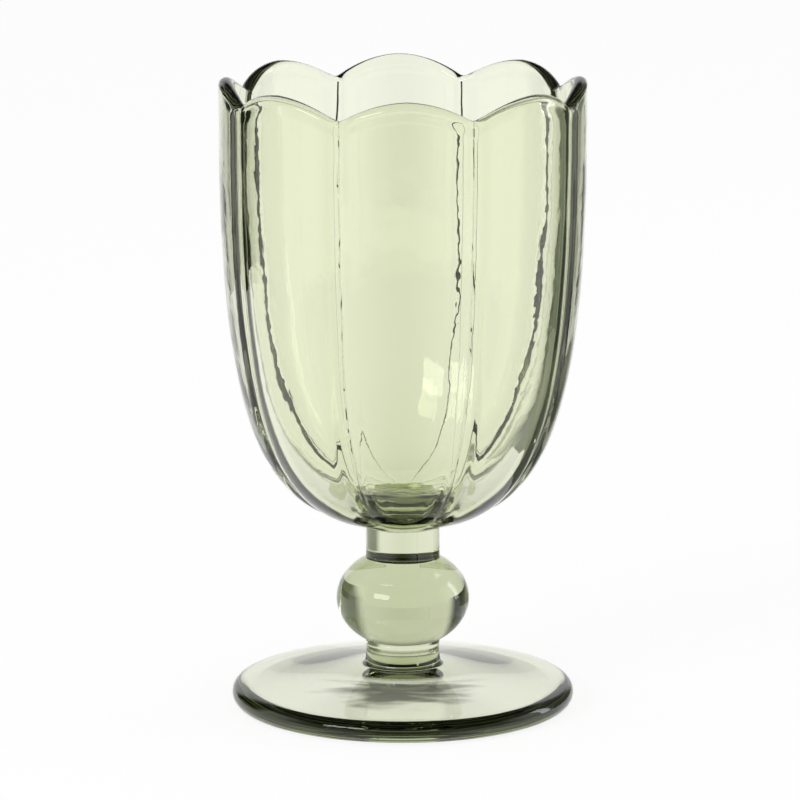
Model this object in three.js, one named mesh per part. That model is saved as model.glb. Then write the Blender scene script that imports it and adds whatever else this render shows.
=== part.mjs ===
// A stemmed drinking glass in pressed green glass: an eight-lobed bowl on a neck, a ball knop,
// a collar and a round foot, all fused one to the next.
// Units are millimetres, +Z is up, and the origin is the centre of the foot's underside.
import * as THREE from "three";

// Foot: a disc that rises gently to its middle, with a full round edge. Underneath, a shallow cone runs
// parallel to the top, so that it stands on a narrow ring.
const footRadius = 42.1;
const footEdgeHeight = 5.5;
const footMiddleHeight = 11.0;
const footFilletRadius = 1.3;
const hollowHeight = 4.3;
const hollowFlatRadius = 13;
const hollowBendRadius = 20;
const hollowRadius = 37;

// Collar: the short waisted ring between the foot and the knop.
const collarHeight = 5.2;
const collarRadius = 9.15;
const collarWaistRadius = 8.9;

// Knop: the squat ball that the hand holds.
const knopHeight = 20.2;
const knopRadius = 16.3;

// Neck: the short cylinder under the bowl, flared a little where it lands on the knop.
const neckHeight = 8.0;
const neckRadius = 9.05;
const neckFlareHeight = 1.2;
const knopSeatRadius = 9.3;

// Bowl, outside: a shallow cone under it, then one long curve up to a near-vertical wall.
const bowlHeight = 110.6;
const bowlRadius = 44.8;
const undersideRadius = 17;
const undersideAngle = THREE.MathUtils.degToRad(18);
const bellyCurveHeight = 97.6;
const bellyFullness = 0.71;

// Bowl, inside: a rounded well over a thick base.
const wallThickness = 3.4;
const baseThickness = 4.6;
const wellCurveHeight = 99;
const wellFloorAngle = THREE.MathUtils.degToRad(14);
const wellFloorFullness = 0.6;
const wellWallFullness = 0.97;

// Lobes: eight petals that meet in creases and end in a scalloped rim.
const lobeCount = 8;
const bowlTurn = THREE.MathUtils.degToRad(1.2); // the front lobe looks a little to the viewer's right
const creaseDepth = 1.1;
const creaseFadeLength = 8;
const outerCreaseSoftness = 0.12;
const innerCreaseSoftness = 0.02;
const scallopDepth = 5.0;
const scallopSoftness = 0.06;

// How finely the round shapes are divided.
const roundSegments = 72;
const edgeSegments = 8;
const hollowSegments = 8;
const knopSegments = 18;
const columnsPerLobe = 10;
const rimSegments = 6;
const wallSegments = 4;
const bellySegments = 16;
const wellSegments = 15;

// The stack, from the table up.
const collarBase = footMiddleHeight;
const knopBase = collarBase + collarHeight;
const neckBase = knopBase + knopHeight;
const bowlBase = neckBase + neckHeight;
const rimHeight = bowlBase + bowlHeight;

// The slope of the foot's top, from the round edge up to the fillet under the collar.
const footSlope = Math.atan2(
  footMiddleHeight - footFilletRadius - footEdgeHeight,
  footRadius - footEdgeHeight / 2 - collarRadius - footFilletRadius,
);

// Pressed green glass: smooth, clear and pale where it is thin.
function greenGlass(name) {
  const material = new THREE.MeshStandardMaterial({
    color: "#c5cf9c",
    roughness: 0.05,
    metalness: 0,
    transparent: true,
    opacity: 0.45,
  });
  material.name = name;
  return material;
}

// Points [radius, height] along a circular arc of the outline.
function arcPoints(centreRadius, centreHeight, radius, fromAngle, toAngle, segments) {
  const points = [];
  for (let i = 0; i <= segments; i += 1) {
    const angle = fromAngle + ((toAngle - fromAngle) * i) / segments;
    points.push([centreRadius + radius * Math.cos(angle), centreHeight + radius * Math.sin(angle)]);
  }
  return points;
}

// A solid turned about the Z axis. Its outline runs from the axis at the bottom to the axis at the top.
function turnedSolid(outline) {
  const points = outline.map(([radius, height]) => new THREE.Vector2(radius, height));
  const geometry = new THREE.LatheGeometry(points, roundSegments);
  geometry.rotateX(Math.PI / 2);
  return geometry;
}

// The underside of the foot, from its level middle down a cone to the ring that it stands on.
function hollowPoints() {
  const curve = new THREE.CubicBezierCurve(
    new THREE.Vector2(0, hollowHeight),
    new THREE.Vector2(hollowFlatRadius, hollowHeight),
    new THREE.Vector2(hollowBendRadius, (hollowRadius - hollowBendRadius) * Math.tan(footSlope)),
    new THREE.Vector2(hollowRadius, 0),
  );
  return curve.getPoints(hollowSegments).map(({ x, y }) => [x, y]);
}

// The foot: hollow underneath, round at the edge, then a straight slope to the fillet under the collar.
function footGeometry() {
  const edgeRadius = footEdgeHeight / 2;
  const edgeCentre = footRadius - edgeRadius;
  const filletFoot = collarRadius + footFilletRadius;
  const edgeEnd = Math.PI / 2 - footSlope;
  const edge = arcPoints(edgeCentre, edgeRadius, edgeRadius, -Math.PI / 2, edgeEnd, edgeSegments);
  const fillet = arcPoints(filletFoot, footMiddleHeight, footFilletRadius, 1.5 * Math.PI, Math.PI, 4);
  return turnedSolid([...hollowPoints(), ...edge, ...fillet, [0, footMiddleHeight]]);
}

// The collar: full width where it meets its neighbours, and a little narrower between.
function collarGeometry() {
  const waist = [];
  const steps = 6;
  for (let i = 0; i <= steps; i += 1) {
    const along = i / steps;
    const narrowing = (collarRadius - collarWaistRadius) * Math.sin(Math.PI * along);
    waist.push([collarRadius - narrowing, collarBase + collarHeight * along]);
  }
  return turnedSolid([[0, collarBase], ...waist, [0, knopBase]]);
}

// The knop: a squat ball cut flat at both ends to seat the collar and the neck.
function knopGeometry() {
  const middle = knopBase + knopHeight / 2;
  const seatAngle = Math.acos(knopSeatRadius / knopRadius);
  const halfHeight = knopHeight / 2 / Math.sin(seatAngle);
  const side = [];
  for (let i = 0; i <= knopSegments; i += 1) {
    const angle = -seatAngle + (2 * seatAngle * i) / knopSegments;
    side.push([knopRadius * Math.cos(angle), middle + halfHeight * Math.sin(angle)]);
  }
  return turnedSolid([[0, knopBase], ...side, [0, neckBase]]);
}

// The neck: a cylinder whose lowest millimetre flares out to the knop's seat.
function neckGeometry() {
  const flare = [];
  const steps = 4;
  for (let i = 0; i <= steps; i += 1) {
    const angle = (Math.PI / 2) * (i / steps);
    flare.push([
      knopSeatRadius - (knopSeatRadius - neckRadius) * Math.sin(angle),
      neckBase + neckFlareHeight * (1 - Math.cos(angle)),
    ]);
  }
  return turnedSolid([[0, neckBase], ...flare, [neckRadius, bowlBase], [0, bowlBase]]);
}

// The bowl's outer outline at the middle of a lobe, from the neck to the foot of the straight wall.
function bellyPoints() {
  const coneTop = new THREE.Vector2(
    undersideRadius,
    bowlBase + (undersideRadius - neckRadius) * Math.tan(undersideAngle),
  );
  const curveTop = new THREE.Vector2(bowlRadius, bowlBase + bellyCurveHeight);
  const reach = (bowlRadius - undersideRadius) * bellyFullness;
  const rise = (curveTop.y - coneTop.y) * bellyFullness;
  const curve = new THREE.CubicBezierCurve(
    coneTop,
    new THREE.Vector2(
      coneTop.x + reach * Math.cos(undersideAngle),
      coneTop.y + reach * Math.sin(undersideAngle),
    ),
    new THREE.Vector2(curveTop.x, curveTop.y - rise),
    curveTop,
  );
  return [[neckRadius, bowlBase], ...curve.getPoints(bellySegments).map(({ x, y }) => [x, y])];
}

// The inner outline at the middle of a lobe, from the foot of the straight wall down to the well's floor.
function wellPoints() {
  const innerRadius = bowlRadius - wallThickness;
  const floor = new THREE.Vector2(0, bowlBase + baseThickness);
  const top = new THREE.Vector2(innerRadius, bowlBase + wellCurveHeight);
  const reach = innerRadius * wellFloorFullness;
  const curve = new THREE.CubicBezierCurve(
    top,
    new THREE.Vector2(top.x, top.y - (top.y - floor.y) * wellWallFullness),
    new THREE.Vector2(reach * Math.cos(wellFloorAngle), floor.y + reach * Math.sin(wellFloorAngle)),
    floor,
  );
  return curve.getPoints(wellSegments).map(({ x, y }) => [x, y]);
}

// How far a point lies into a crease: 0 at the middle of a lobe, 1 at the crease between two lobes.
// Softness rounds the bottom of the crease, and is a share of the half lobe.
function creaseShare(lobePlace, softness) {
  const fromCrease = 1 - Math.abs(lobePlace);
  const rounded = Math.hypot(fromCrease, softness) - softness;
  return (1 - rounded) ** 2;
}

// A crease is at full depth on the wall, and fades out where the surface closes in on the stem or the well.
function creaseFade(radius, startRadius) {
  return THREE.MathUtils.smoothstep(radius, startRadius, startRadius + creaseFadeLength);
}

// One upright outline of the bowl, at a place across a lobe: out under the belly, up, over the rim and down.
function bowlOutline(lobePlace, belly, well) {
  const outerDip = creaseDepth * creaseShare(lobePlace, outerCreaseSoftness);
  const innerDip = creaseDepth * creaseShare(lobePlace, innerCreaseSoftness);
  const rimDip = scallopDepth * creaseShare(lobePlace, scallopSoftness);
  const outer = belly.map(([radius, height]) => [
    radius - outerDip * creaseFade(radius, neckRadius),
    height,
  ]);
  const inner = well.map(([radius, height]) => [radius - innerDip * creaseFade(radius, 0), height]);
  const [outerRadius, outerTop] = outer[outer.length - 1];
  const [innerRadius, innerTop] = inner[0];
  const rimRadius = (outerRadius - innerRadius) / 2;
  const rimCentre = rimHeight - rimDip - rimRadius;
  const rim = arcPoints(innerRadius + rimRadius, rimCentre, rimRadius, 0, Math.PI, rimSegments);
  for (let i = 1; i < wallSegments; i += 1) {
    outer.push([outerRadius, outerTop + ((rimCentre - outerTop) * i) / wallSegments]);
  }
  for (let i = 1; i < wallSegments; i += 1) {
    rim.push([innerRadius, rimCentre + ((innerTop - rimCentre) * i) / wallSegments]);
  }
  return [...outer, ...rim, ...inner];
}

// The bowl: upright outlines set round the axis, crowded towards the creases and joined into one skin.
function bowlGeometry() {
  const belly = bellyPoints();
  const well = wellPoints();
  const columns = [];
  for (let lobe = 0; lobe < lobeCount; lobe += 1) {
    for (let i = 0; i < columnsPerLobe; i += 1) {
      const lobePlace = Math.sin(Math.PI * (i / columnsPerLobe - 0.5));
      const angle = (2 * Math.PI * (lobe + lobePlace / 2)) / lobeCount - Math.PI / 2 + bowlTurn;
      // The last point of each outline is the well's centre, which all outlines share.
      const outline = bowlOutline(lobePlace, belly, well).slice(0, -1);
      columns.push(
        outline.map(([radius, height]) => [radius * Math.cos(angle), radius * Math.sin(angle), height]),
      );
    }
  }
  const rows = columns[0].length;
  const positions = columns.flat(2);
  const undersideCentre = columns.length * rows;
  const wellCentre = undersideCentre + 1;
  positions.push(0, 0, bowlBase, 0, 0, bowlBase + baseThickness);
  const faces = [];
  columns.forEach((column, here) => {
    const start = here * rows;
    const next = ((here + 1) % columns.length) * rows;
    faces.push(undersideCentre, next, start);
    for (let row = 0; row < rows - 1; row += 1) {
      faces.push(start + row, next + row, next + row + 1);
      faces.push(start + row, next + row + 1, start + row + 1);
    }
    faces.push(start + rows - 1, next + rows - 1, wellCentre);
  });
  const geometry = new THREE.BufferGeometry();
  geometry.setAttribute("position", new THREE.Float32BufferAttribute(positions, 3));
  geometry.setIndex(faces);
  geometry.computeVertexNormals();
  return geometry;
}

function namedMesh(name, geometry) {
  const mesh = new THREE.Mesh(geometry, greenGlass(name + "_glass"));
  mesh.name = name;
  return mesh;
}

const goblet = new THREE.Group();
goblet.name = "stemmed_glass";
goblet.add(
  namedMesh("foot", footGeometry()),
  namedMesh("collar", collarGeometry()),
  namedMesh("knop", knopGeometry()),
  namedMesh("neck", neckGeometry()),
  namedMesh("bowl", bowlGeometry()),
);

export default goblet;
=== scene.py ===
import math
from functools import partial

import bmesh
import bpy
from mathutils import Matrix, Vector


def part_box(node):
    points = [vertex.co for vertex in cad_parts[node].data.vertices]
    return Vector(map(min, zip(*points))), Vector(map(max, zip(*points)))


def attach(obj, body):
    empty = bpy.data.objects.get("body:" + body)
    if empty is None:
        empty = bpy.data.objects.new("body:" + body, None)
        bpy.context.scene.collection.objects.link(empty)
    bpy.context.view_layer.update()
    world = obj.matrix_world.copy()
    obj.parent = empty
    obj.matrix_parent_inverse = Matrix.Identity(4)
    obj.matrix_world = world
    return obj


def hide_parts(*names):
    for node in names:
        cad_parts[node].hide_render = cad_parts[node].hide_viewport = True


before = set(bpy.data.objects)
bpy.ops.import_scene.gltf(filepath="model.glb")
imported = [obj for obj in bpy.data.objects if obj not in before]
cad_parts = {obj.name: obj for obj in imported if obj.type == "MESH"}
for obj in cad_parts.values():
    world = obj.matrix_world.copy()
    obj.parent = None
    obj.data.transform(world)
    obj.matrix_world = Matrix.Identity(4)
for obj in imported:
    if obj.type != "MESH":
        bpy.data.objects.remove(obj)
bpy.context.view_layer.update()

# A stemmed drinking glass in pressed green glass, made as one body, because the real pieces are fused
# hot and light runs on through their joints. Its lengths are millimetres, and MM turns them into
# Blender's metres. The studio's are metres, where its comments say so. Places are in the CAD frame:
# +Z up, the viewer at -Y.
MM = 0.001


def top_of(node):
    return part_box(node)[1].z / MM


def radius_of(node):
    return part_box(node)[1].x / MM


# The ripple of the surface stays inside the solids' box by this much.
SKIN = 0.1

# Foot
FOOT_RADIUS = radius_of("foot") - SKIN
FOOT_EDGE_HEIGHT = 5.5
FOOT_TOP = top_of("foot")
FOOT_FILLET = 1.3
HOLLOW_HEIGHT = 4.3
HOLLOW_FLAT_RADIUS = 13.0
HOLLOW_BEND_RADIUS = 20.0
HOLLOW_RADIUS = 37.0

# Collar
COLLAR_RADIUS = radius_of("collar")
COLLAR_WAIST = 8.9
COLLAR_TOP = top_of("collar")

# Knop
KNOP_RADIUS = radius_of("knop")
KNOP_SEAT = 9.3
KNOP_TOP = top_of("knop")

# Neck
NECK_RADIUS = 9.05
NECK_FLARE = 1.2
NECK_TOP = top_of("neck")

# Bowl, outside
RIM_TOP = top_of("bowl") - SKIN
BOWL_RADIUS = radius_of("bowl") - SKIN
UNDERSIDE_RADIUS = 17.0
UNDERSIDE_ANGLE = math.radians(18)
BELLY_CURVE_HEIGHT = 97.6
BELLY_TOP = NECK_TOP + BELLY_CURVE_HEIGHT
BELLY_FULLNESS = 0.71

# Bowl, inside
WALL = 3.4
RIM_BEAD = 0.25
RIM_BEAD_HEIGHT = 3.0
BASE_THICKNESS = 4.6
WELL_CURVE_HEIGHT = 99.0
WELL_FLOOR = NECK_TOP + BASE_THICKNESS
WELL_TOP = NECK_TOP + WELL_CURVE_HEIGHT
WELL_FLOOR_ANGLE = math.radians(14)
WELL_FLOOR_FULLNESS = 0.6
WELL_WALL_FULLNESS = 0.97

# Lobes, and the flat-bottomed groove that runs down the outside where two of them meet. A crease and its
# groove come in over CREASE_FADE of radius.
LOBES = 8
BOWL_TURN = math.radians(1.2)
CREASE_DEPTH = 1.1
CREASE_FADE = 8.0
OUTER_SOFTNESS = 0.12
INNER_SOFTNESS = 0.02
GROOVE_DEPTH = 0.6
GROOVE_WIDTH = 2.3
SCALLOP_DEPTH = 5.0
SCALLOP_SOFTNESS = 0.06

# Marks of the pressing. A sharp ridge of uneven height runs in each inner crease, from a radius in the
# floor of the well up to the rim. Edges bent more than HARD_EDGE stay crisp.
RIDGE_HEIGHT = 0.6
RIDGE_LEAST = 0.6
RIDGE_SPREAD = 0.8
RIDGE_WIDTH = 0.32
RIDGE_GRAIN = 5.0
RIDGE_START = 2.0
HARD_EDGE = math.radians(35)

# The inner creases sway to both sides, from a little below the valleys of the rim.
SWAY_HEIGHT = 2.0
SWAY_WIDTH = 5.0
SWAY_LENGTH = 9.0
SWAY_START = 1.0
SWAY_FADE = 8.0

# The mould's joint on the stem: a fine line on opposite sides, in line with two of the creases. A crease
# counts as in line if the cosine of its angle to the joint is above JOINT_COSINE.
SEAM_HEIGHT = 0.09
SEAM_WIDTH = 0.18
JOINT_COSINE = 0.99

# The rough tip of the plunger on the floor of the well, whose edge fades out between two shares of its
# radius
TIP_RADIUS = 6.0
TIP_EDGE = (0.8, 1.2)
TIP_HEIGHT = 0.6
TIP_GRAIN = 1.6

# The ripple of chilled glass, which fades out on the axis
RIPPLE_HEIGHT = 0.2
RIPPLE_LENGTH = 20.0
RIPPLE_START = 3.0

# The warp of a bowl taken out warm, which comes in between two heights over the neck and two radii
WARP_HEIGHT = 0.35
WARP_LENGTH = 60.0
WARP_RISE = (3.0, 25.0)
WARP_REACH = (5.0, 20.0)

# The finer unevenness from the cold mould, which the material adds
CHILL_HEIGHT = 0.05
CHILL_LENGTH = 7.0
CHILL_DETAIL = 2.5

# The noise that the marks take their height from
SEED = 7.0
GRAIN_DETAIL = 1.0
GRAIN_ROUGHNESS = 0.45

# Iron gives the glass its green: the colour and the strength of the tint in a metre of it, and what each
# pass through a wall adds, because thin walls look greener than their thickness alone makes them.
TINT = "#cfd6b0"
TINT_STRENGTH = 40.0
SKIN_TINT = "#f9fbec"
GLASS_IOR = 1.52

# Paper. White is the paper that the glass stands on: it glows this much to the camera, and a little more in
# the glass. It lies PAPER_GAP millimetres under the foot and reaches out PAPER_REACH metres.
PAPER_GLOW = 0.86
PAPER = "#8a8a8a"
PAPER_GAP = 0.25
PAPER_REACH = 20.0
IN_GLASS = 1.03

# Painted shadow of the stem, which the paper's glow shows only in the glass: its light, its reach as a
# multiple of the collar's radius, and the painted streaks that its edge is drawn out into, in millimetres.
# The x of their pattern is squeezed, which makes them longer from left to right.
STEM_SHADOW = 0.2
STEM_SHADOW_REACH = 2.2
STREAK_LENGTH = 9.0
STREAK_REACH = 40.0
STREAK_SQUEEZE = 0.5
STREAK_DETAIL = 2.0

# Painted shade: what the world and paper keep of their glow, as the glass shows them, after each reflection
# inside the glass but the first
PAINTED_SHADE_PER_REFLECTION = 0.5

# World: its light on matt things, and what the glass shows of it in front, behind and overhead. A direction
# goes from front to behind as its y rises through FRONT_TO_BEHIND, and overhead as its z rises through
# LEVEL_TO_OVERHEAD.
WORLD_PLAIN = 0.44
WORLD_FRONT = 0.12
SWEEP = 0.9
CEILING = 0.05
FRONT_TO_BEHIND = (-0.35, 0.0)
LEVEL_TO_OVERHEAD = (0.45, 0.6)

# Cards, which stand or lie CARD_GAP over the paper, in metres
BLACK_CARD = "#232b17"
PALE_CARD = "#bec4ae"
GREY_CARD = "#b0b8a0"
CARD_GAP = 0.0002
CARD_STEPS = 24

# Lamps and camera, in metres. The lamps aim at the middle of the glass.
AIM = Vector((0.0, 0.0, 0.08))
CAMERA_PLACE = (-0.0007, -1.22, 0.326)
CAMERA_TILT = math.radians(11.6)
CAMERA_SENSOR = 36.0
CAMERA_LENS = 230.1

# How often light is followed through the glass's faces and back from them
BOUNCES = 24
REFLECTIONS = 12

# A point nearer to the axis than ON_AXIS is on it, and the columns share it. Points of two petals that lie
# nearer than JOIN_DISTANCE become one.
ON_AXIS = 1e-6
JOIN_DISTANCE = 0.001

# Faces: columns across half a lobe, how far they crowd towards the crease, and rows along each stretch of
# the outline
HALF_LOBE_COLUMNS = 16
CROWDING = 1.8
HOLLOW_ROWS = 24
RING_ROWS = 2
FOOT_EDGE_ROWS = 14
FOOT_TOP_ROWS = 16
FILLET_ROWS = 6
COLLAR_ROWS = 8
KNOP_ROWS = 30
FLARE_ROWS = 5
NECK_ROWS = 7
UNDERSIDE_ROWS = 8
BELLY_ROWS = 90
SHOULDER_ROWS = 8
RIM_ROWS = 20
LIP_ROWS = 12
WELL_ROWS = 120


def mix(a, b, share):
    return a + (b - a) * share


def smooth_step(value, start, end):
    share = min(max((value - start) / (end - start), 0.0), 1.0)
    return share * share * (3 - 2 * share)


def line(start, end, count):
    """Points (radius, height) from start up to but not including end."""
    return [(mix(start[0], end[0], i / count), mix(start[1], end[1], i / count)) for i in range(count)]


def arc(centre, radii, start, end, count):
    """Points along an elliptical arc, up to but not including its end."""
    points = []
    for i in range(count):
        angle = mix(start, end, i / count)
        points.append((centre[0] + radii[0] * math.cos(angle), centre[1] + radii[1] * math.sin(angle)))
    return points


def cubic(a, b, c, d, count):
    """Points along a Bezier curve, up to but not including its end."""
    points = []
    for i in range(count):
        t = i / count
        s = 1 - t
        shares = (s ** 3, 3 * s * s * t, 3 * s * t * t, t ** 3)
        points.append(tuple(sum(w * p[k] for w, p in zip(shares, (a, b, c, d))) for k in (0, 1)))
    return points


def foot_outline():
    """Hollow underneath, a ring to stand on, a full round edge, a gentle rise and the collar's fillet.

    The hollow is a cone that runs parallel to the top and levels out in the middle.
    """
    half = FOOT_EDGE_HEIGHT / 2
    edge = (FOOT_RADIUS - half, half)
    fillet = (COLLAR_RADIUS + FOOT_FILLET, FOOT_TOP)
    slope = math.atan2(FOOT_TOP - FOOT_FILLET - FOOT_EDGE_HEIGHT, edge[0] - fillet[0])
    edge_top = (edge[0] + half * math.sin(slope), edge[1] + half * math.cos(slope))
    fillet_foot = (fillet[0], FOOT_TOP - FOOT_FILLET)
    crown = (0.0, HOLLOW_HEIGHT)
    ring = (HOLLOW_RADIUS, 0.0)
    bend = (HOLLOW_BEND_RADIUS, (HOLLOW_RADIUS - HOLLOW_BEND_RADIUS) * math.tan(slope))
    points = cubic(crown, (HOLLOW_FLAT_RADIUS, HOLLOW_HEIGHT), bend, ring, HOLLOW_ROWS)
    points += line(ring, (edge[0], 0.0), RING_ROWS)
    points += arc(edge, (half, half), -math.pi / 2, math.pi / 2 - slope, FOOT_EDGE_ROWS)
    points += line(edge_top, fillet_foot, FOOT_TOP_ROWS)
    points += arc(fillet, (FOOT_FILLET, FOOT_FILLET), 1.5 * math.pi, math.pi, FILLET_ROWS)
    return points


def collar_outline():
    """Full width at both ends and a little narrower between."""
    points = []
    for i in range(COLLAR_ROWS):
        along = i / COLLAR_ROWS
        narrowing = (COLLAR_RADIUS - COLLAR_WAIST) * math.sin(math.pi * along)
        points.append((COLLAR_RADIUS - narrowing, mix(FOOT_TOP, COLLAR_TOP, along)))
    return points


def knop_outline():
    """A squat ball between its two seats."""
    middle = (0.0, (COLLAR_TOP + KNOP_TOP) / 2)
    seat_angle = math.acos(KNOP_SEAT / KNOP_RADIUS)
    radii = (KNOP_RADIUS, (KNOP_TOP - COLLAR_TOP) / 2 / math.sin(seat_angle))
    return arc(middle, radii, -seat_angle, seat_angle, KNOP_ROWS)


def neck_outline():
    """A cylinder that flares a little where it lands on the knop."""
    flare = (KNOP_SEAT, KNOP_TOP + NECK_FLARE)
    radii = (KNOP_SEAT - NECK_RADIUS, NECK_FLARE)
    points = arc(flare, radii, 1.5 * math.pi, math.pi, FLARE_ROWS)
    return points + line((NECK_RADIUS, KNOP_TOP + NECK_FLARE), (NECK_RADIUS, NECK_TOP), NECK_ROWS)


def belly_outline():
    """The underside's shallow cone and then one long curve up to the straight wall."""
    neck = (NECK_RADIUS, NECK_TOP)
    cone = (UNDERSIDE_RADIUS, NECK_TOP + (UNDERSIDE_RADIUS - NECK_RADIUS) * math.tan(UNDERSIDE_ANGLE))
    top = (BOWL_RADIUS, BELLY_TOP)
    reach = (top[0] - cone[0]) * BELLY_FULLNESS
    rise = (top[1] - cone[1]) * BELLY_FULLNESS
    first = (cone[0] + reach * math.cos(UNDERSIDE_ANGLE), cone[1] + reach * math.sin(UNDERSIDE_ANGLE))
    underside = line(neck, cone, UNDERSIDE_ROWS)
    return underside + cubic(cone, first, (top[0], top[1] - rise), top, BELLY_ROWS) + [top]


def well_outline():
    """From the straight wall down the inside to the middle of the floor."""
    top = (BOWL_RADIUS - WALL, WELL_TOP)
    bottom = (0.0, WELL_FLOOR)
    shoulder = (top[0], mix(WELL_TOP, WELL_FLOOR, WELL_WALL_FULLNESS))
    reach = top[0] * WELL_FLOOR_FULLNESS
    last = (reach * math.cos(WELL_FLOOR_ANGLE), WELL_FLOOR + reach * math.sin(WELL_FLOOR_ANGLE))
    return cubic(top, shoulder, last, bottom, WELL_ROWS) + [bottom]


def crease_share(place, softness):
    """0 at the middle of a lobe and 1 at the crease, with the bottom of the crease rounded."""
    rounded = math.hypot(1 - abs(place), softness) - softness
    return (1 - rounded) ** 2


def from_crease(place, radius):
    """How far a point of the glass is from the crease, along the surface."""
    return (1 - abs(place)) * math.pi / LOBES * radius


def bowl_outline(place, belly, well):
    """The bowl's outline at one place across a lobe: out, up, over the rim and down into the well."""
    outer_dip = CREASE_DEPTH * crease_share(place, OUTER_SOFTNESS)
    inner_dip = CREASE_DEPTH * crease_share(place, INNER_SOFTNESS)
    rim_dip = SCALLOP_DEPTH * crease_share(place, SCALLOP_SOFTNESS)
    outer = []
    for radius, height in belly:
        groove = GROOVE_DEPTH * math.exp(-(from_crease(place, radius) / GROOVE_WIDTH) ** 4)
        fade = smooth_step(radius, NECK_RADIUS, NECK_RADIUS + CREASE_FADE)
        outer.append((radius - (outer_dip + groove) * fade, height))
    inner = [(radius - inner_dip * smooth_step(radius, 0, CREASE_FADE), height) for radius, height in well]
    rim_radius = (outer[-1][0] - inner[0][0] + RIM_BEAD) / 2
    shoulder = RIM_TOP - rim_dip - rim_radius
    up = line(outer[-1], (outer[-1][0], shoulder), SHOULDER_ROWS)[1:]
    over = arc((outer[-1][0] - rim_radius, shoulder), (rim_radius, rim_radius), 0, math.pi, RIM_ROWS)
    inside = []
    for i in range(LIP_ROWS):
        height = mix(shoulder, inner[0][1], i / LIP_ROWS)
        swell = RIM_BEAD * smooth_step(height, shoulder - RIM_BEAD_HEIGHT, shoulder)
        inside.append((inner[0][0] - swell, height))
    return outer + up + over, inside + inner


def lobe_places():
    """Places across a lobe from crease (-1) to crease (1): two flanks of a ridge, and crowded beside them."""
    flank = RIDGE_WIDTH / from_crease(0.0, BOWL_RADIUS - WALL)
    rest = HALF_LOBE_COLUMNS - 2
    half = [-1.0, -1 + flank / 2] + [mix(-1 + flank, 0.0, (i / rest) ** CROWDING) for i in range(rest)]
    return half + [0.0] + [-place for place in reversed(half)]


def petal_mesh():
    """One eighth of the whole glass, a slice from the axis out and back, as a mesh that stands on +X.

    Its point attributes say where the marks of the pressing go: ridge in the inner crease, sway on both
    sides of it, seam on the stem, tip on the floor of the well, ripple and warp on the free surfaces.
    """
    foot = foot_outline()
    stem = foot + collar_outline() + knop_outline() + neck_outline()
    belly = belly_outline()
    well = well_outline()
    verts, faces, columns = [], [], []
    marks = {name: [] for name in ("ridge", "sway", "seam", "tip", "ripple", "warp")}
    for place in lobe_places():
        angle = place * math.pi / LOBES
        outside, inside = bowl_outline(place, belly, well)
        column = []
        for row, (radius, height) in enumerate(stem + outside + inside):
            if radius < ON_AXIS and columns:
                column.append(columns[0][row])
                continue
            column.append(len(verts))
            verts.append((radius * math.cos(angle) * MM, radius * math.sin(angle) * MM, height * MM))
            distance = from_crease(place, radius)
            on_stem = len(foot) < row < len(stem)
            on_inside = row >= len(stem) + len(outside)
            flank = max(0.0, 1 - (1 - abs(place)) * from_crease(0.0, BOWL_RADIUS - WALL) / RIDGE_WIDTH)
            in_well = on_inside * smooth_step(radius, RIDGE_START, CREASE_FADE)
            below_valleys = RIM_TOP - height - SCALLOP_DEPTH
            below_rim = smooth_step(below_valleys, SWAY_START, SWAY_START + SWAY_FADE)
            near = 1 - smooth_step(distance, RIDGE_WIDTH, SWAY_WIDTH)
            on_tip = on_inside * (1 - smooth_step(radius, TIP_EDGE[0] * TIP_RADIUS, TIP_EDGE[1] * TIP_RADIUS))
            over_stem = smooth_step(height, KNOP_TOP, NECK_TOP)
            warp_rise = smooth_step(height - NECK_TOP, *WARP_RISE)
            marks["ridge"].append(in_well * flank)
            marks["sway"].append(in_well * below_rim * near)
            marks["seam"].append(on_stem * math.exp(-(distance / SEAM_WIDTH) ** 2))
            marks["tip"].append(on_tip)
            marks["ripple"].append(over_stem * smooth_step(radius, 0, RIPPLE_START))
            marks["warp"].append(warp_rise * smooth_step(radius, *WARP_REACH))
        columns.append(column)
    for left, right in zip(columns, columns[1:]):
        for row in range(len(left) - 1):
            corners = [left[row], right[row], right[row + 1], left[row + 1]]
            ring = [v for i, v in enumerate(corners) if v not in corners[:i]]
            if len(ring) > 2:
                faces.append(ring)
    mesh = bpy.data.meshes.new("petal")
    mesh.from_pydata(verts, [], faces)
    for name, values in marks.items():
        attribute = mesh.attributes.new(name, "FLOAT", "POINT")
        attribute.data.foreach_set("value", [float(value) for value in values])
    return mesh


def add_node(tree, kind, settings=None, inputs=None):
    """Adds one node with its settings. An input, by name or number, takes a node, a socket or a value."""
    node = tree.nodes.new(kind)
    for name, value in (settings or {}).items():
        setattr(node, name, value)
    for key, value in (inputs or {}).items():
        source = value.outputs[0] if isinstance(value, bpy.types.Node) else value
        if isinstance(source, bpy.types.NodeSocket):
            tree.links.new(source, node.inputs[key])
        else:
            node.inputs[key].default_value = source
    return node


# Kinds of node that are used often, with their settings
MATH = "ShaderNodeMath"
VECTOR = "ShaderNodeVectorMath"
ADD = {"operation": "ADD"}
SUBTRACT = {"operation": "SUBTRACT"}
MULTIPLY = {"operation": "MULTIPLY"}
MULTIPLY_ADD = {"operation": "MULTIPLY_ADD"}
DIVIDE = {"operation": "DIVIDE"}
MAXIMUM = {"operation": "MAXIMUM"}


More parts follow.
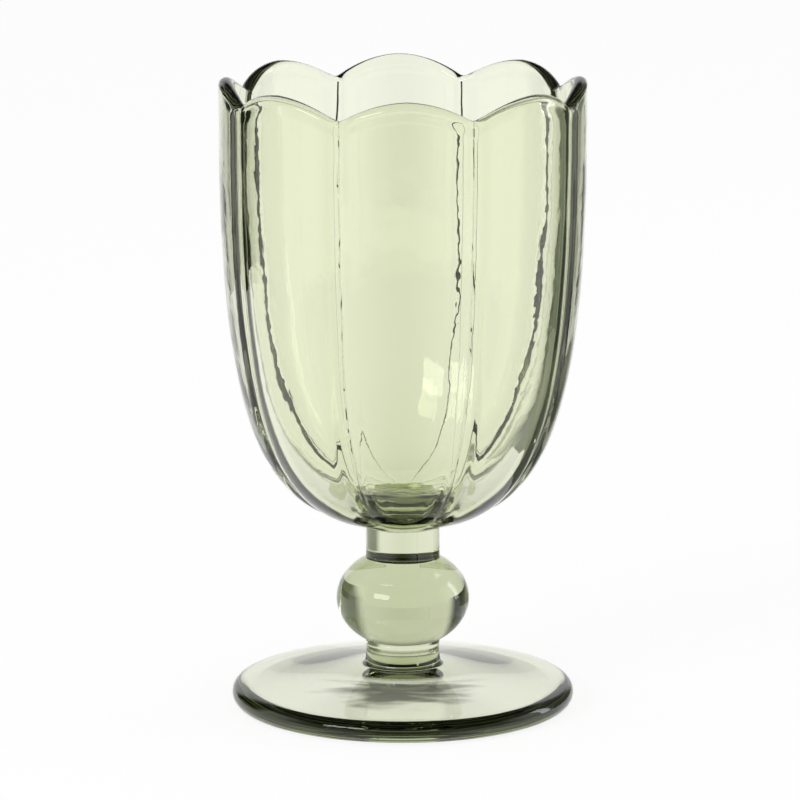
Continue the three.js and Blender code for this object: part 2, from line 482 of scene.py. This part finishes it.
def goblet_sizes(glass):
    """The inputs of the goblet's tree: each one's kind and value."""
    joint = BOWL_TURN + math.pi / LOBES - math.pi / 2
    return {
        "Lobes": ("Int", LOBES),
        "Turn": ("Float", BOWL_TURN - math.pi / 2),
        "Join distance": ("Float", JOIN_DISTANCE * MM),
        "Ridge height": ("Float", RIDGE_HEIGHT * MM),
        "Ridge grain": ("Float", RIDGE_GRAIN * MM),
        "Sway height": ("Float", SWAY_HEIGHT * MM),
        "Sway length": ("Float", SWAY_LENGTH * MM),
        "Seam height": ("Float", SEAM_HEIGHT * MM),
        "Seam across": ("Vector", (math.cos(joint), math.sin(joint), 0.0)),
        "Tip height": ("Float", TIP_HEIGHT * MM),
        "Tip grain": ("Float", TIP_GRAIN * MM),
        "Ripple height": ("Float", RIPPLE_HEIGHT * MM),
        "Ripple length": ("Float", RIPPLE_LENGTH * MM),
        "Warp height": ("Float", WARP_HEIGHT * MM),
        "Warp length": ("Float", WARP_LENGTH * MM),
        "Hard edge": ("Float", HARD_EDGE),
        "Seed": ("Float", SEED),
        "Glass": ("Material", glass),
    }


def goblet_tree(sizes):
    """Geometry Nodes: sets the petals round the axis, joins them and adds the marks of the pressing."""
    tree = bpy.data.node_groups.new("pressed goblet", "GeometryNodeTree")
    add = partial(add_node, tree)
    tree.interface.new_socket("Petal", in_out="INPUT", socket_type="NodeSocketGeometry")
    for name, (kind, value) in sizes.items():
        tree.interface.new_socket(name, in_out="INPUT", socket_type="NodeSocket" + kind).default_value = value
    tree.interface.new_socket("Goblet", in_out="OUTPUT", socket_type="NodeSocketGeometry")
    given = add("NodeGroupInput").outputs

    # The petals, one for each lobe, turned round the axis and joined where they meet.
    places = add("GeometryNodeMeshLine", None, {"Count": given["Lobes"], "Offset": (0.0, 0.0, 0.0)})
    step = add(MATH, DIVIDE, {0: math.tau, 1: given["Lobes"]})
    turned = add(MATH, MULTIPLY_ADD, {0: add("GeometryNodeInputIndex"), 1: step, 2: given["Turn"]})
    spin = add("ShaderNodeCombineXYZ", None, {"Z": turned})
    petals = add("GeometryNodeInstanceOnPoints", None,
                 {"Points": places, "Instance": given["Petal"], "Rotation": spin})
    whole = add("GeometryNodeRealizeInstances", None, {"Geometry": petals})
    joined = add("GeometryNodeMergeByDistance", None, {"Geometry": whole, "Distance": given["Join distance"]})

    # How far each mark moves the surface towards the axis: its share at the point, times its height,
    # times a seeded noise of its own grain.
    position = add("GeometryNodeInputPosition")

    def grain(length, seed):
        scale = add(MATH, DIVIDE, {0: 1.0, 1: given[length]})
        own_seed = add(MATH, ADD, {0: given["Seed"], 1: seed})
        return add("ShaderNodeTexNoise", {"noise_dimensions": "4D"},
                   {"Vector": position, "W": own_seed, "Scale": scale,
                    "Detail": GRAIN_DETAIL, "Roughness": GRAIN_ROUGHNESS})

    def mark(name, height, amount):
        share = add("GeometryNodeInputNamedAttribute", {"data_type": "FLOAT"}, {"Name": name})
        full = add(MATH, MULTIPLY, {0: share, 1: given[height]})
        return add(MATH, MULTIPLY, {0: full, 1: amount})

    axis_out = add(VECTOR, MULTIPLY, {0: position, 1: (1.0, 1.0, 0.0)})
    outwards = add(VECTOR, {"operation": "NORMALIZE"}, {0: axis_out})
    across = add(VECTOR, {"operation": "DOT_PRODUCT"}, {0: outwards, 1: given["Seam across"]})
    beside = add(MATH, {"operation": "ABSOLUTE"}, {0: across.outputs["Value"]})
    at_joint = add(MATH, {"operation": "GREATER_THAN"}, {0: beside, 1: JOINT_COSINE})
    uneven = add(MATH, MULTIPLY_ADD, {0: grain("Ridge grain", 1.0), 1: RIDGE_SPREAD, 2: RIDGE_LEAST})
    ridge = mark("ridge", "Ridge height", uneven)
    warp = mark("warp", "Warp height", grain("Warp length", 2.0))
    seam = mark("seam", "Seam height", at_joint)
    inwards = add(MATH, SUBTRACT, {0: add(MATH, ADD, {0: ridge, 1: warp}), 1: seam})
    back_out = add(MATH, MULTIPLY, {0: inwards, 1: -1.0})
    radial = add(VECTOR, {"operation": "SCALE"}, {0: outwards, "Scale": back_out})

    # An inner crease sways to both sides on its way down.
    along_wall = add(VECTOR, {"operation": "CROSS_PRODUCT"}, {0: outwards, 1: (0.0, 0.0, 1.0)})
    sway = mark("sway", "Sway height", add(MATH, SUBTRACT, {0: grain("Sway length", 5.0), 1: 0.5}))
    sideways = add(VECTOR, {"operation": "SCALE"}, {0: along_wall, "Scale": sway})

    # The ripple and the rough tip of the plunger lift and sink the surface along its own direction.
    wave = add(MATH, SUBTRACT, {0: grain("Ripple length", 3.0), 1: 0.5})
    pebble = add(MATH, SUBTRACT, {0: grain("Tip grain", 4.0), 1: 0.5})
    relief = add(MATH, ADD, {0: mark("ripple", "Ripple height", wave), 1: mark("tip", "Tip height", pebble)})
    lifted = add(VECTOR, {"operation": "SCALE"}, {0: add("GeometryNodeInputNormal"), "Scale": relief})

    level = add(VECTOR, ADD, {0: radial, 1: sideways})
    moved = add("GeometryNodeSetPosition", None,
                {"Geometry": joined, "Offset": add(VECTOR, ADD, {0: level, 1: lifted})})
    smooth = add("GeometryNodeSetShadeSmooth", None, {"Geometry": moved})
    angle = add("GeometryNodeInputMeshEdgeAngle")
    bend = add(MATH, {"operation": "LESS_THAN"}, {0: angle, 1: given["Hard edge"]})
    crisp = add("GeometryNodeSetShadeSmooth", {"domain": "EDGE"}, {"Geometry": smooth, "Shade Smooth": bend})
    glazed = add("GeometryNodeSetMaterial", None, {"Geometry": crisp, "Material": given["Glass"]})
    add("NodeGroupOutput", None, {"Goblet": glazed})
    return tree


def goblet(glass):
    """The whole glass as one closed mesh."""
    body = bpy.data.objects.new("goblet", petal_mesh())
    bpy.context.collection.objects.link(body)
    sizes = goblet_sizes(glass)
    modifier = body.modifiers.new("petals", "NODES")
    modifier.node_group = goblet_tree(sizes)
    for socket in modifier.node_group.interface.items_tree:
        if socket.name in sizes:
            modifier[socket.identifier] = sizes[socket.name][1]
    bpy.context.view_layer.update()
    shaped = bpy.data.meshes.new_from_object(body.evaluated_get(bpy.context.evaluated_depsgraph_get()))
    body.modifiers.remove(modifier)
    body.data = shaped
    closed = bmesh.new()
    closed.from_mesh(shaped)
    bmesh.ops.recalc_face_normals(closed, faces=closed.faces)
    closed.to_mesh(shaped)
    closed.free()
    return body


def linear(hex_colour):
    """A linear colour from sRGB hex."""
    channels = [int(hex_colour[i:i + 2], 16) / 255 for i in (1, 3, 5)]
    return [c / 12.92 if c <= 0.04045 else ((c + 0.055) / 1.055) ** 2.4 for c in channels] + [1.0]


def new_material(name):
    material = bpy.data.materials.new(name)
    material.use_nodes = True
    material.node_tree.nodes.clear()
    return material


def pressed_green_glass():
    """Soda-lime glass tinted by iron, pressed and fire-polished.

    It is clear and shiny, pale where it is thin and olive green where the eye looks through much of it,
    so the colour is in the volume. The chill of the mould leaves a faint unevenness, which makes the
    creases behind look ragged.
    """
    material = new_material("pressed green glass")
    add = partial(add_node, material.node_tree)
    place = add("ShaderNodeTexCoord").outputs["Object"]
    height = add("ShaderNodeSeparateXYZ", None, {0: place}).outputs["Z"]
    on_bowl = add("ShaderNodeMapRange", None,
                  {"Value": height, "From Min": KNOP_TOP * MM, "From Max": NECK_TOP * MM})
    noise = add("ShaderNodeTexNoise", None,
                {"Vector": place, "Scale": 1 / (CHILL_LENGTH * MM), "Detail": CHILL_DETAIL})
    chill = add(MATH, MULTIPLY, {0: noise, 1: on_bowl})
    bump = add("ShaderNodeBump", None, {"Strength": 1.0, "Distance": CHILL_HEIGHT * MM, "Height": chill})
    surface = add("ShaderNodeBsdfPrincipled", None,
                  {"Base Color": linear(SKIN_TINT), "Roughness": 0.0, "IOR": GLASS_IOR,
                   "Transmission Weight": 1.0, "Normal": bump})
    volume = add("ShaderNodeVolumeAbsorption", None, {"Color": linear(TINT), "Density": TINT_STRENGTH})
    add("ShaderNodeOutputMaterial", None, {"Surface": surface, "Volume": volume})
    return material


def seen_in_glass(add):
    """1 for a ray that comes off the glass or through it."""
    path = add("ShaderNodeLightPath").outputs
    return add(MATH, MAXIMUM, {0: path["Is Glossy Ray"], 1: path["Is Transmission Ray"]})


def painted_shade_after_reflections(add, light):
    """Painted shade: the light dimmed for a ray that the glass threw back inside itself, by a share each time
    after the first.
    """
    reflections = add("ShaderNodeLightPath").outputs["Glossy Depth"]
    later_ones = add(MATH, MAXIMUM, {0: add(MATH, SUBTRACT, {0: reflections, 1: 1.0}), 1: 0.0})
    left = add(MATH, {"operation": "POWER"}, {0: PAINTED_SHADE_PER_REFLECTION, 1: later_ones})
    return add(MATH, MULTIPLY, {0: light, 1: left})


def white_world():
    """A plain pale world. What the glass shows of it is white behind, dimmer in front and dark overhead."""
    world = bpy.data.worlds.new("studio")
    bpy.context.scene.world = world
    world.use_nodes = True
    world.node_tree.nodes.clear()
    add = partial(add_node, world.node_tree)
    direction = add("ShaderNodeTexCoord").outputs["Generated"]
    towards = add("ShaderNodeSeparateXYZ", None, {0: direction})
    behind = add("ShaderNodeMapRange", None,
                 {"Value": towards.outputs["Y"], "From Min": FRONT_TO_BEHIND[0],
                  "From Max": FRONT_TO_BEHIND[1], "To Min": WORLD_FRONT, "To Max": SWEEP})
    overhead = add("ShaderNodeMapRange", None,
                   {"Value": towards.outputs["Z"], "From Min": LEVEL_TO_OVERHEAD[0],
                    "From Max": LEVEL_TO_OVERHEAD[1], "To Min": 1.0, "To Max": CEILING})
    in_glass = painted_shade_after_reflections(add, add(MATH, MULTIPLY, {0: behind, 1: overhead}))
    around = add("ShaderNodeMix", {"data_type": "FLOAT"},
                 {0: seen_in_glass(add), 2: WORLD_PLAIN, 3: in_glass})
    camera_ray = add("ShaderNodeLightPath").outputs["Is Camera Ray"]
    strength = add("ShaderNodeMix", {"data_type": "FLOAT"}, {0: camera_ray, 2: around, 3: 1.0})
    background = add("ShaderNodeBackground", None, {"Color": linear("#ffffff"), "Strength": strength})
    add("ShaderNodeOutputWorld", None, {"Surface": background})


def white_paper():
    """Matt white paper that glows to the camera and in the glass, and takes the glass's shadow.

    In the glass its glow has a painted shadow under the stem, and painted streaks draw out the edge of that
    shadow, as light does that has come down through uneven glass.
    """
    paper = new_material("white paper")
    add = partial(add_node, paper.node_tree)
    camera_ray = add("ShaderNodeLightPath").outputs["Is Camera Ray"]
    place = add("ShaderNodeTexCoord").outputs["Object"]
    distance = add(VECTOR, {"operation": "LENGTH"}, {0: place}).outputs["Value"]
    stretched = add(VECTOR, MULTIPLY, {0: place, 1: (STREAK_SQUEEZE, 1.0, 1.0)})
    streaks = add("ShaderNodeTexNoise", None,
                  {"Vector": stretched, "Scale": 1 / (STREAK_LENGTH * MM), "Detail": STREAK_DETAIL})
    shift = add(MATH, SUBTRACT, {0: streaks, 1: 0.5})
    uneven = add(MATH, MULTIPLY_ADD, {0: shift, 1: STREAK_REACH * MM, 2: distance})
    # Painted shadow: the paper's glow in the glass is darker under the stem, with streaked edges.
    under_stem = add("ShaderNodeMapRange", {"interpolation_type": "SMOOTHSTEP"},
                     {"Value": uneven, "From Min": COLLAR_RADIUS * MM,
                      "From Max": STEM_SHADOW_REACH * COLLAR_RADIUS * MM,
                      "To Min": STEM_SHADOW, "To Max": 1.0})
    in_glass = painted_shade_after_reflections(add, add(MATH, MULTIPLY, {0: seen_in_glass(add), 1: under_stem}))
    brighter = add(MATH, MULTIPLY, {0: in_glass, 1: IN_GLASS})
    seen = add("ShaderNodeMix", {"data_type": "FLOAT"}, {0: camera_ray, 2: brighter, 3: 1.0})
    glow = add(MATH, MULTIPLY, {0: seen, 1: PAPER_GLOW})
    emission = add("ShaderNodeEmission", None, {"Strength": glow})
    diffuse = add("ShaderNodeBsdfDiffuse", None, {"Color": linear(PAPER)})
    both = add("ShaderNodeAddShader", None, {0: diffuse, 1: emission})
    add("ShaderNodeOutputMaterial", None, {"Surface": both})
    return paper


def stage_mesh(name, verts, faces, material):
    mesh = bpy.data.meshes.new(name)
    mesh.from_pydata(verts, [], faces)
    mesh.materials.append(material)
    thing = bpy.data.objects.new(name, mesh)
    bpy.context.collection.objects.link(thing)
    return thing


def floor():
    signs = [(-1, -1), (1, -1), (1, 1), (-1, 1)]
    corners = [(x * PAPER_REACH, y * PAPER_REACH, -PAPER_GAP * MM) for x, y in signs]
    stage_mesh("floor", corners, [(0, 1, 2, 3)], white_paper())


def card(name, start, end, outline, colour, soft):
    """A card that only the glass shows, as at a photographer's table: it draws the glass's edges.

    It is bent round the glass from one direction to the other, in degrees from straight behind it to the
    right, and its outline is distance and height in metres. Each end fades out over a share of it, soft.
    """
    matt = new_material(name)
    add = partial(add_node, matt.node_tree)
    cover = add("ShaderNodeAttribute", {"attribute_name": "cover"}).outputs["Fac"]
    diffuse = add("ShaderNodeBsdfDiffuse", None, {"Color": linear(colour)})
    gauze = add("ShaderNodeMixShader", None, {0: cover, 1: add("ShaderNodeBsdfTransparent"), 2: diffuse})
    add("ShaderNodeOutputMaterial", None, {"Surface": gauze})
    verts, faces, covers = [], [], []
    rows = len(outline)
    for i in range(CARD_STEPS + 1):
        azimuth = math.radians(mix(start, end, i / CARD_STEPS))
        from_end = min(i, CARD_STEPS - i) / CARD_STEPS
        for distance, height in outline:
            verts.append((distance * math.sin(azimuth), distance * math.cos(azimuth), height))
            covers.append(smooth_step(from_end, 0.0, soft))
    for i in range(CARD_STEPS):
        for row in range(rows - 1):
            corner = i * rows + row
            faces.append((corner, corner + 1, corner + 1 + rows, corner + rows))
    thing = stage_mesh(name, verts, faces, matt)
    thing.data.attributes.new("cover", "FLOAT", "POINT").data.foreach_set("value", covers)
    thing.visible_camera = False
    thing.visible_diffuse = False
    thing.visible_shadow = False


def lamp(name, place, size, radiance):
    """A soft light that the glass shows as a bright patch, with its size in metres."""
    data = bpy.data.lights.new(name, "AREA")
    data.shape = "RECTANGLE"
    data.size, data.size_y = size
    data.energy = radiance * math.pi * size[0] * size[1]
    light = bpy.data.objects.new(name, data)
    light.location = place
    towards_glass = AIM - light.location
    light.rotation_euler = towards_glass.to_track_quat("-Z", "Y").to_euler()
    light.visible_camera = False
    bpy.context.collection.objects.link(light)


def camera():
    """A long lens a little above the glass, as in the photograph."""
    data = bpy.data.cameras.new("camera")
    data.sensor_width = CAMERA_SENSOR
    data.lens = CAMERA_LENS
    view = bpy.data.objects.new("camera", data)
    view.location = CAMERA_PLACE
    view.rotation_euler = (math.pi / 2 - CAMERA_TILT, 0.0, 0.0)
    bpy.context.collection.objects.link(view)
    bpy.context.scene.camera = view


scene = bpy.context.scene
scene.view_settings.view_transform = "Standard"
scene.cycles.max_bounces = BOUNCES
scene.cycles.transmission_bounces = BOUNCES
scene.cycles.glossy_bounces = REFLECTIONS
camera()
white_world()
floor()
card("left_card", start=-78, end=-31, outline=[(0.46, CARD_GAP), (0.52, 0.40)], colour=BLACK_CARD, soft=0.25)
card("right_card", start=24, end=75, outline=[(0.33, CARD_GAP), (0.40, 0.40)], colour=GREY_CARD, soft=0.25)
card("right_card_foot", start=24, end=75, outline=[(0.10, CARD_GAP), (0.33, CARD_GAP)],
     colour=PALE_CARD, soft=0.25)
card("front_card", start=125, end=235, outline=[(0.046, CARD_GAP), (1.50, CARD_GAP)],
     colour=BLACK_CARD, soft=0.5)
lamp("softbox", place=(-0.71, -0.81, 0.57), size=(0.60, 0.27), radiance=5.5)
lamp("strip_light", place=(1.13, 0.39, 0.25), size=(0.24, 0.9), radiance=3.0)
body = goblet(pressed_green_glass())
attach(body, "root")
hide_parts("foot", "collar", "knop", "neck", "bowl")
